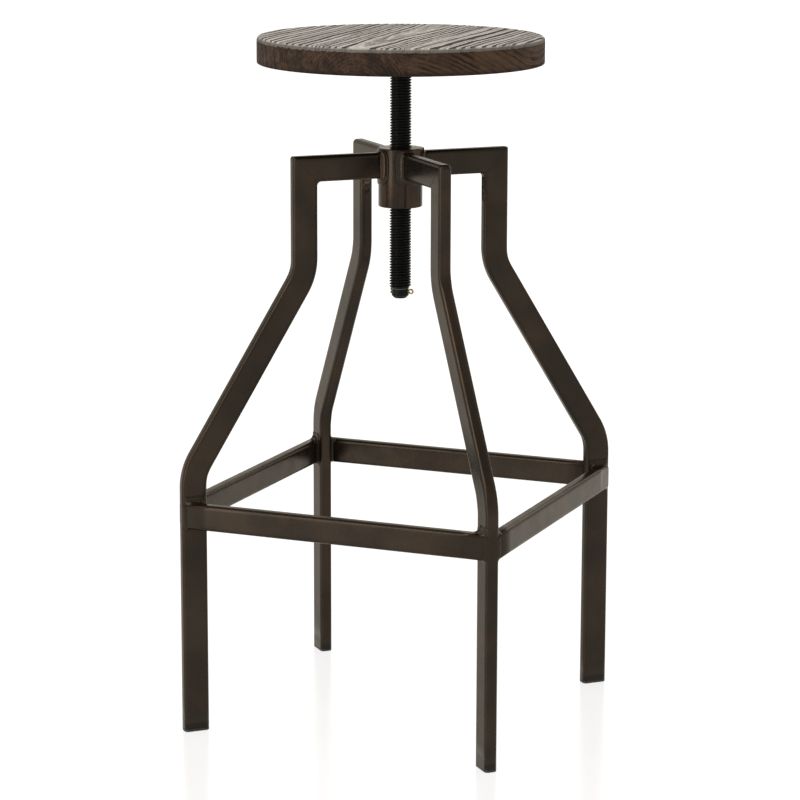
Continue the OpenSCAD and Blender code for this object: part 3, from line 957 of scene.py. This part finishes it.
for r, z in rim:
    lower = list(range(len(points), len(points) + len(loop)))
    points += [(r * cos(a), r * sin(a), z) for a in angles]
    faces += [(loop[k - 1], lower[k - 1], lower[k], loop[k]) for k in range(len(loop))]
    loop = lower
faces.append(tuple(reversed(loop)))
seat_disc = new_mesh("seat_disc", turned(points, -GRAIN_TURN), faces)
print("seat points:", len(points))


# %% Tools for geometry trees
def geometry_tree(name, inputs):
    """A geometry tree with named inputs, its graph, and a function that gives an input by its name."""
    tree = bpy.data.node_groups.new(name, "GeometryNodeTree")
    for way in ("INPUT", "OUTPUT"):
        tree.interface.new_socket("Geometry", in_out=way, socket_type="NodeSocketGeometry")
    for key, value in inputs.items():
        kind = "NodeSocketInt" if isinstance(value, int) else "NodeSocketFloat"
        tree.interface.new_socket(key, in_out="INPUT", socket_type=kind).default_value = value
    graph = Graph(tree)
    entry = graph.node("NodeGroupInput")
    return tree, graph, lambda key: Output(graph, entry.outputs[key])


def close_tree(graph, geometry, material):
    """Ends a tree with Realize Instances and Set Material."""
    real = graph.out("GeometryNodeRealizeInstances", {0: geometry})
    done = graph.out("GeometryNodeSetMaterial", {"Geometry": real, "Material": material})
    graph.node("NodeGroupOutput", {0: done})


def bake(name, mesh, tree, body, replaced, sharp=180):
    """Runs a geometry tree on a mesh and keeps the result as a plain mesh piece.

    Edges steeper than sharp, in degrees, stay crisp."""
    source = new_object(name + "_source", mesh)
    modifier = source.modifiers.new(name, "NODES")
    modifier.node_group = tree
    for item in tree.interface.items_tree:
        if item.in_out == "INPUT" and item.name != "Geometry":
            modifier[item.identifier] = item.default_value
    bpy.context.view_layer.update()
    ready = source.evaluated_get(bpy.context.evaluated_depsgraph_get())
    result = bpy.data.meshes.new_from_object(ready)
    bpy.data.objects.remove(source)
    result.name = name
    result.shade_smooth()
    result.set_sharp_from_angle(angle=radians(sharp))
    dress(new_object(name, result), body, replaced)
    print(name, "faces:", len(result.polygons))


print("geometry tools are ready")

# %% Carved seat
tree, graph, entry = geometry_tree("carve_wood", {"Groove Depth": 0.35, "Fibre Depth": 0.15, "Rim Wear": 0.8})
place = graph.scale(graph.out("GeometryNodeInputPosition"), 1 / MM)
lines = wood_pattern(graph, place)
from_top = SEAT_TOP - lines.z
soft = (lines.fine * 0.3 + lines.wide).at_least(lines.joint).at_most(1.0)
soft = soft * graph.remap(from_top, 0.4, 3.0, 1.0, 0.3)
rough = graph.remap(lines.fibre, 0.3, 0.75, 0.5, 0.0)
chips = graph.remap(graph.noise(place, 0.22, 4, 0.65), 0.45, 0.7)
wear = graph.remap(from_top, 0.1, 1.2) * graph.remap(from_top, 3.0, 8.0, 1.0, 0.0) * chips.at_least(soft)
deep = wear * entry("Rim Wear") + (rough * entry("Fibre Depth") + soft * entry("Groove Depth"))
moved = graph.out("GeometryNodeSetPosition", {
    "Geometry": entry("Geometry"), "Selection": graph.math("GREATER_THAN", lines.z, SEAT_BOTTOM + 0.2),
    "Offset": graph.scale(graph.out("GeometryNodeInputNormal"), deep * -MM)})
close_tree(graph, moved, wood)
bake("wooden_seat", seat_disc, tree, "spindle", ["seat"])

# %% [markdown]
# ## The lifting screw
# A long black screw carries the seat. Its thread climbs 3.175 mm in a turn.
# A thread follows a rule, so Geometry Nodes wind it: a flat grid is bent round the axis and sheared by one
# turn's climb. Each turn has four rows, two at the root and two at the crest, so crests stay crisp.
# Where the thread runs out, the rows are held at the end's height and radius and merge with the plain end.

# %% Black steel
AROUND = 64
END_BEVEL = 3.2
black, graph, place = new_material("black_steel")
x, y, z = graph.split(place)
# Painted highlight, partly: the thread's crests are lighter, partly where the blackening is worn off and
# partly as a painted highlight along the crest lines.
crest_wear_and_highlight = graph.remap(graph.length(x, y), 12.0, 12.6) * graph.remap(graph.noise(place, 0.4, 3), 0.4, 0.7)
colour = graph.blend(crest_wear_and_highlight, (0.0015, 0.0012, 0.0012), (0.012, 0.011, 0.01))
# Painted highlight: a thin light band round the shoulder at the top of the plain end.
off_shoulder = graph.math("ABSOLUTE", z - (SCREW_END_TOP - 0.4))
shoulder_highlight = graph.remap(off_shoulder, 0.35, 0.6, 0.8, 0.0)
graph.plug(Base_Color=graph.blend(shoulder_highlight, colour, (0.10, 0.095, 0.09)))
graph.plug(Roughness=graph.remap(graph.noise(place, 0.25, 3), 0.3, 0.7, 0.28, 0.44))
graph.plug(Specular_IOR_Level=0.13, Normal=graph.bump(graph.noise(place, 3.0), 0.01))
print("black steel nodes:", len(black.node_tree.nodes))

# %% Lifting screw
ROWS_A_TURN = 4
tree, graph, entry = geometry_tree("wind_thread", {
    "Crest Radius": SCREW_CREST_R, "Root Radius": SCREW_ROOT_R, "Pitch": PITCH, "Bottom": SCREW_END_TOP,
    "Top": THREAD_TOP, "End Radius": SCREW_END_R, "Turns": 82, "Sides": AROUND})
rows = entry("Turns") * ROWS_A_TURN
grid = graph.out("GeometryNodeMeshGrid", {
    "Size X": 1.0, "Size Y": 1.0, "Vertices X": entry("Sides") + 1, "Vertices Y": rows})
x, y = graph.split(graph.out("GeometryNodeInputPosition"))[:2]
share = x + 0.5
row_number = graph.math("ROUND", (y + 0.5) * (rows - 1))
quarter = graph.math("MODULO", row_number, ROWS_A_TURN)
turn_number = graph.math("FLOOR", (row_number + 0.5) / ROWS_A_TURN)
phase = 0.08
for limit, jump in ((0.5, 0.32), (1.5, 0.20), (2.5, 0.32)):
    phase = graph.math("GREATER_THAN", quarter, limit) * jump + phase
climb = turn_number + phase + (share - 1.5)
bottom, top, root = entry("Bottom"), entry("Top"), entry("Root Radius")
height = (climb * entry("Pitch") + bottom).at_least(bottom).at_most(top)
at_crest = graph.math("COMPARE", quarter, 1.5, 0.6)
out = at_crest * (entry("Crest Radius") - root) + root
room = (height - bottom).at_most(top - height)
out = out.at_most(room * 1.4 + entry("End Radius"))
angle = share * (2 * pi)
where = graph.combine(out * graph.math("COSINE", angle), out * graph.math("SINE", angle), height)
wound = graph.out("GeometryNodeSetPosition", {"Geometry": grid, "Position": graph.scale(where, MM)})
both = graph.join(wound, entry("Geometry"))
merged = graph.out("GeometryNodeMergeByDistance", {"Geometry": both, "Distance": 0.004 * MM})
close_tree(graph, merged, black)

low_end = [(SCREW_END_R - END_BEVEL, SCREW_BOTTOM), (SCREW_END_R, SCREW_BOTTOM + END_BEVEL),
           (SCREW_END_R, SCREW_END_TOP)]
high_end = [(SCREW_END_R, THREAD_TOP), (SCREW_END_R, SEAT_BOTTOM - 0.3)]
both_ends = [lathe(low_end, AROUND, top=False), lathe(high_end, AROUND, bottom=False)]
screw_ends = new_mesh("screw_ends", *joined(both_ends))
bake("threaded_screw", screw_ends, tree, "spindle", ["lifting_screw"], sharp=25)

# %% [markdown]
# ## The stop pin
# A split pin keeps the screw from being wound out of the hub. It is one half-round wire, folded double.
# The wire follows a path: a bent tail, the body, the round eye, back through the body, and the other tail.
# At each point of the path a half disc is drawn, with its flat side towards the other half.

# %% Stop pin
WIRE_R = 1.6
WIRE_STEPS = 12
EYE_X = 13.5
EYE_INNER_R = 1.8
TAIL_X = -11.7
TAIL_BEND_R = 1.7
TAIL_TIP = 3.1


def arc(centre_x, centre_z, r, start, end, steps):
    """Points of an arc in the XZ plane, with angles in degrees."""
    turns = [radians(start + (end - start) * k / steps) for k in range(steps + 1)]
    return [(centre_x + r * cos(a), centre_z + r * sin(a)) for a in turns]


half = [(TAIL_X, TAIL_TIP), (TAIL_X, 2.4)]
half += arc(TAIL_X + TAIL_BEND_R, TAIL_BEND_R, TAIL_BEND_R, 180, 270, 8)
half += [(-6, 0), (0, 0), (6, 0), (10.2, 0), (11.0, 0.25)]
half += arc(EYE_X, 0, EYE_INNER_R, 142, 0, 24)
path = half + [(x, -z) for x, z in reversed(half[:-1])]
points = []
for i, (x, z) in enumerate(path):
    ahead = (Vector(path[min(i + 1, len(path) - 1)]) - Vector(path[max(i - 1, 0)])).normalized()
    for k in range(WIRE_STEPS + 1):
        a = pi * k / WIRE_STEPS
        up = WIRE_R * sin(a)
        points.append((x - ahead.y * up, WIRE_R * cos(a), PIN_Z + z + ahead.x * up))
columns = WIRE_STEPS + 1
faces = loft_faces(len(path), columns) + end_caps(len(path), columns)
brass, graph, place = new_material("dull_brass")
stain = graph.remap(graph.noise(place, 0.35, 3), 0.35, 0.7)
graph.plug(Base_Color=graph.blend(stain, (0.38, 0.27, 0.09), (0.14, 0.10, 0.045)), Metallic=0.85)
graph.plug(Roughness=graph.remap(stain, 0, 1, 0.3, 0.5))
graph.plug(Normal=graph.bump(graph.noise(place, 2.5), 0.05))
new_piece("split_pin", points, faces, brass, "spindle", "brass", ["stop_pin"])
print("pin path points:", len(path))

# %% [markdown]
# ## Plate and weld ring under the seat
# The photo doesn't show what holds the seat. A plate welded to the screw and screwed to the wood is usual.
# The plate is a lathed disc, and the weld ring a hollow fillet with ripples.

# %% Plate and weld ring
HOLE_R = 10.08
WELD_RING_W = 5
WELD_RING_STEPS = 220
plate_bottom = SEAT_BOTTOM - PLATE_T
plate_profile = [(HOLE_R, plate_bottom), (PLATE_R, plate_bottom), (PLATE_R, SEAT_BOTTOM),
                 (HOLE_R, SEAT_BOTTOM)]
points, faces = lathe(rounded(plate_profile, [0, 0.8, 0.5, 0]), 128, hollow=True)
new_piece("round_plate", points, faces, tube_finish, "spindle", "bronze_steel", ["seat_plate"])

across, points = 8, []
for i in range(WELD_RING_STEPS):
    a = 2 * pi * i / WELD_RING_STEPS
    wide = WELD_RING_W - 0.35 + 0.3 * wander(i * 0.25, 3)
    section = []
    for k in range(across + 1):
        t = k / across
        r = (1 - t) ** 2 * 10.3 + 2 * t * (1 - t) * 11.3 + t ** 2 * (HOLE_R + wide)
        z = (1 - t) ** 2 * -wide + 2 * t * (1 - t) * -1.3
        wave = 0.12 * sin(46 * a + 2.2 * (2 * t - 1) ** 2) * sin(pi * t)
        section.append((r + wave, z - abs(wave)))
    section += [(HOLE_R, 0), (HOLE_R, -wide)]
    points += [(r * cos(a), r * sin(a), plate_bottom + z) for r, z in section]
faces = loft_faces(WELD_RING_STEPS, across + 3, closed_rows=True)
new_piece("ring_weld_bead", points, faces, black, "lift_ring", "black_steel", ["screw_weld"])
print("plate", 2 * PLATE_R, "mm across")

# %% [markdown]
# ## Wood screws
# Four screws through the plate are guessed too. They are one mesh, put on the points of a circle
# by Geometry Nodes, which also cut the crosses.

# %% Wood screws
zinc, graph, place = new_material("zinc_steel")
spangle = graph.noise(place, 0.5, 3)
graph.plug(Base_Color=graph.ramp(spangle, [(0.35, (0.38, 0.38, 0.37)), (0.65, (0.55, 0.55, 0.54))]))
graph.plug(Metallic=0.9, Roughness=graph.remap(spangle, 0.3, 0.7, 0.3, 0.45))
graph.plug(Normal=graph.bump(graph.noise(place, 2.0), 0.04))

tree, graph, entry = geometry_tree("ring_of_screws", {
    "Count": 4, "Circle Radius": 0.044, "Height": plate_bottom * MM,
    "Cross Length": 0.0048, "Cross Width": 0.0009, "Cross Depth": 0.0016, "Seed": 7})
long, short, depth = entry("Cross Length"), entry("Cross Width"), entry("Cross Depth")
bars = graph.join(*[graph.out("GeometryNodeMeshCube", {"Size": graph.combine(*size, depth)})
                    for size in ((long, short), (short, long))])
bars = graph.out("GeometryNodeTransform", {"Geometry": bars, "Translation": (0, 0, -0.0027)})
cut_head = graph.out("GeometryNodeMeshBoolean", {"Mesh 1": entry("Geometry"), "Mesh 2": bars},
                     operation="DIFFERENCE")
circle = graph.out("GeometryNodeMeshCircle", {"Vertices": entry("Count"), "Radius": entry("Circle Radius")})
circle = graph.out("GeometryNodeTransform", {
    "Geometry": circle, "Rotation": (0, 0, pi / 4), "Translation": graph.combine(0.0, 0.0, entry("Height"))})
spin = graph.out("FunctionNodeRandomValue", {"Min": (0, 0, 0), "Max": (0, 0, 6.28), "Seed": entry("Seed")},
                 data_type="FLOAT_VECTOR")
placed = graph.out("GeometryNodeInstanceOnPoints", {"Points": circle, "Instance": cut_head, "Rotation": spin})
close_tree(graph, placed, zinc)
screw_profile = [(2.4, -2.6), (3.4, -2.1), (3.9, -1.2), (4, -0.1), (2, 0), (2, 20.5), (1.1, 23.2),
                 (0.4, 24.8)]
one_screw = new_mesh("one_screw", *lathe(screw_profile, 32))
bake("wood_screws", one_screw, tree, "spindle", ["seat_screws"])

low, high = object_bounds()
print("grown by mm:", [round((a - b) / MM, 2) for a, b in zip(high - low, cad_high - cad_low)])
